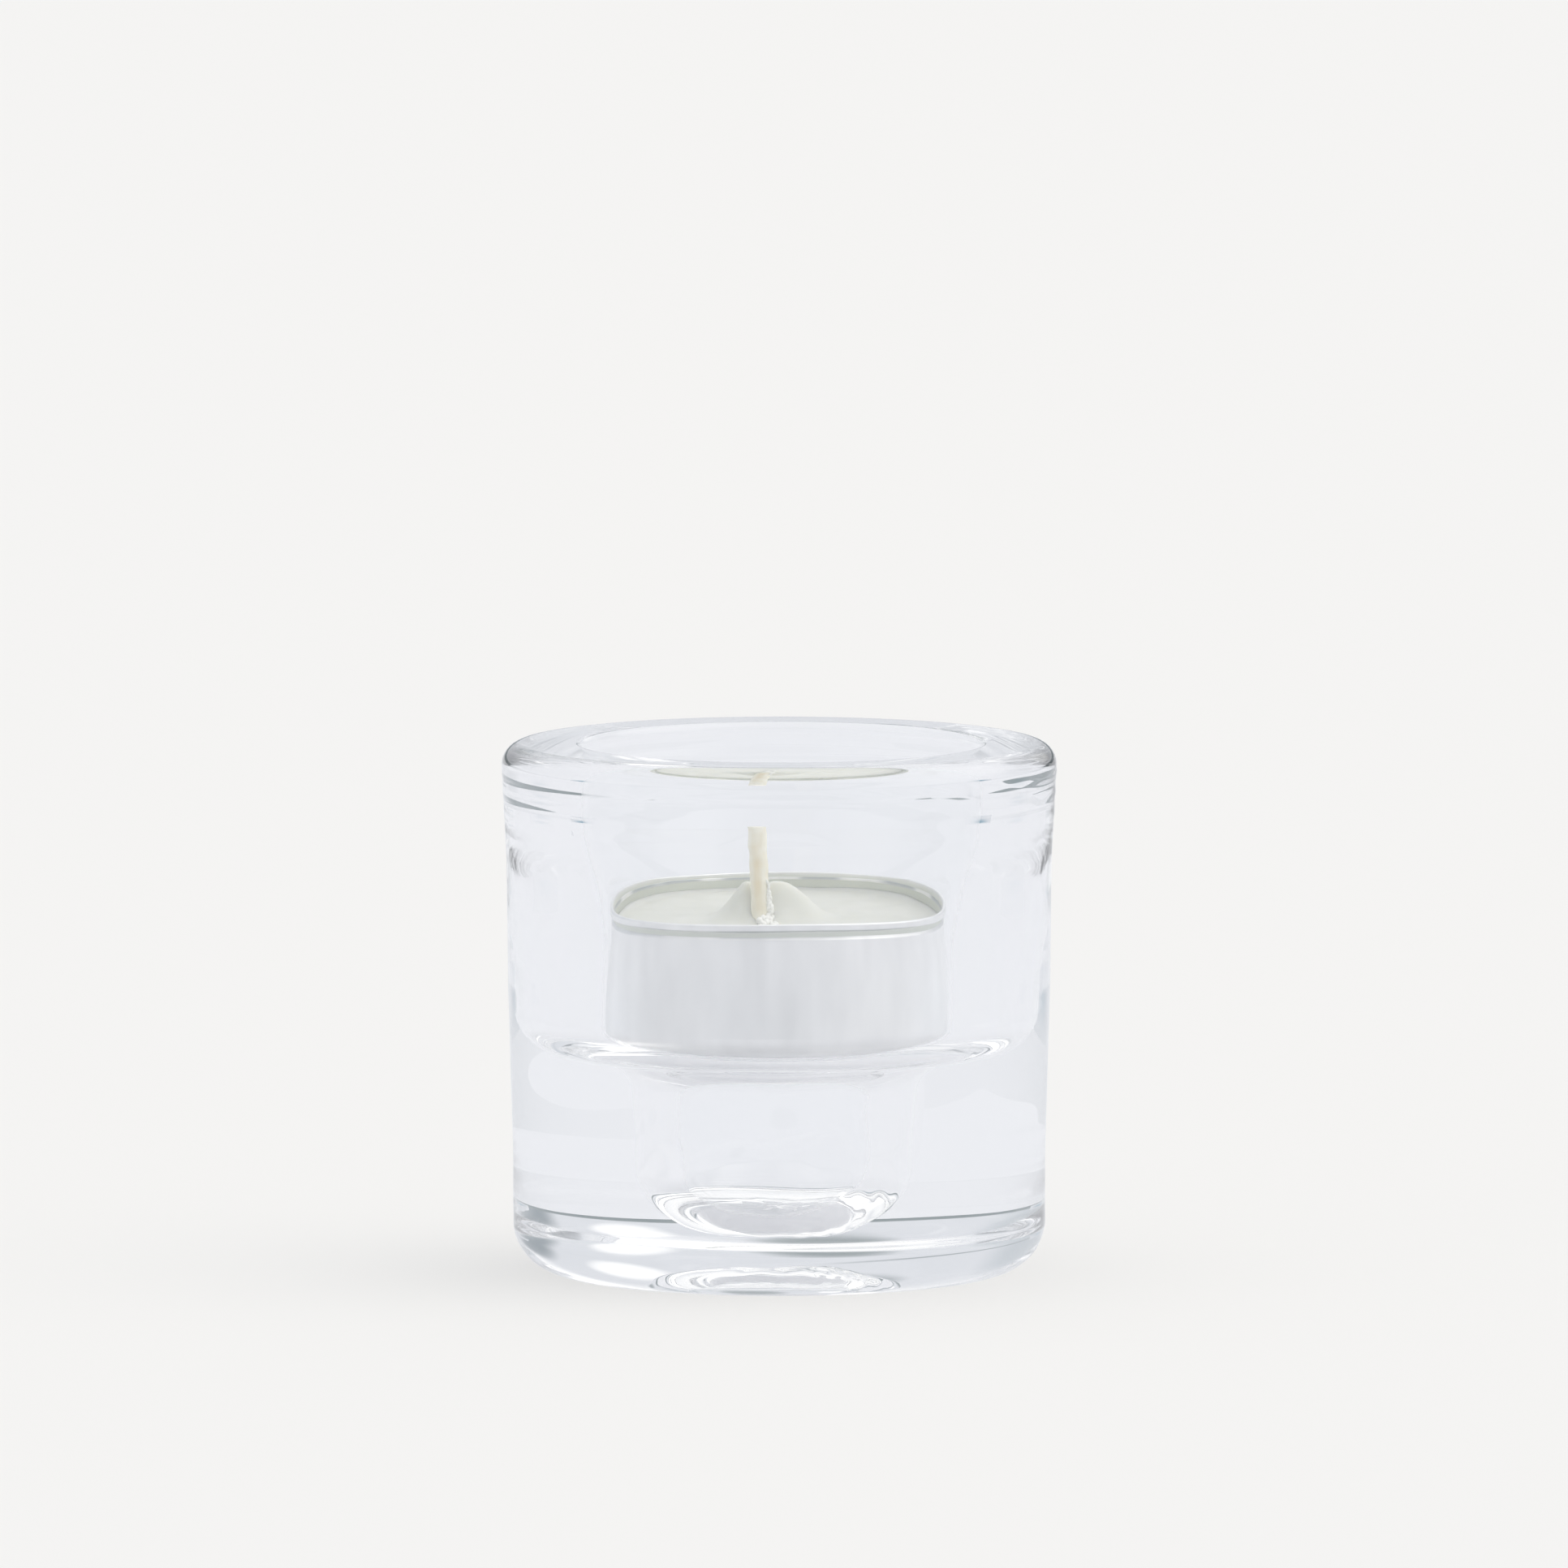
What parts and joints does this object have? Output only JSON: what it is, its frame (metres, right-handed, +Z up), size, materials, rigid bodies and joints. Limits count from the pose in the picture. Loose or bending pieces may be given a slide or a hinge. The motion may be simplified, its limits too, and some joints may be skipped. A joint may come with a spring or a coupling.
{
  "type": "tealight holder",
  "caption": "Thick round clear-glass holder with a wide well for a tealight and, in the well's floor, a narrower socket for a taper candle; shown with an aluminium-cup tealight.",
  "frame": {"origin": "centre of the foot, on the surface that the holder stands on", "axes": "+Z up along the holder's axis; the holder is round, and the wick leans a little towards -X"},
  "size_m": [0.0616, 0.0616, 0.059],
  "materials": {
    "clear_glass": "clear, fire-polished pressed glass",
    "cup_aluminium": "thin drawn foil, satin with fine upright draw marks",
    "candle_wax": "paraffin wax, off-white, slightly translucent and soft-glossed",
    "wick_cotton": "braided cotton, waxed and cream coloured",
    "clip_tin": "thin tinned steel"
  },
  "bodies": {
    "holder": {"glass_holder": "clear_glass"},
    "tealight": {"tealight_cup": "cup_aluminium", "wax": "candle_wax", "wick": "wick_cotton", "wick_clip": "clip_tin"}
  },
  "joints": [
    {"name": "tealight_lift", "type": "slide", "parent": "holder", "child": "tealight", "axis": [0, 0, 1], "range_m": [0, 0.045]}
  ]
}
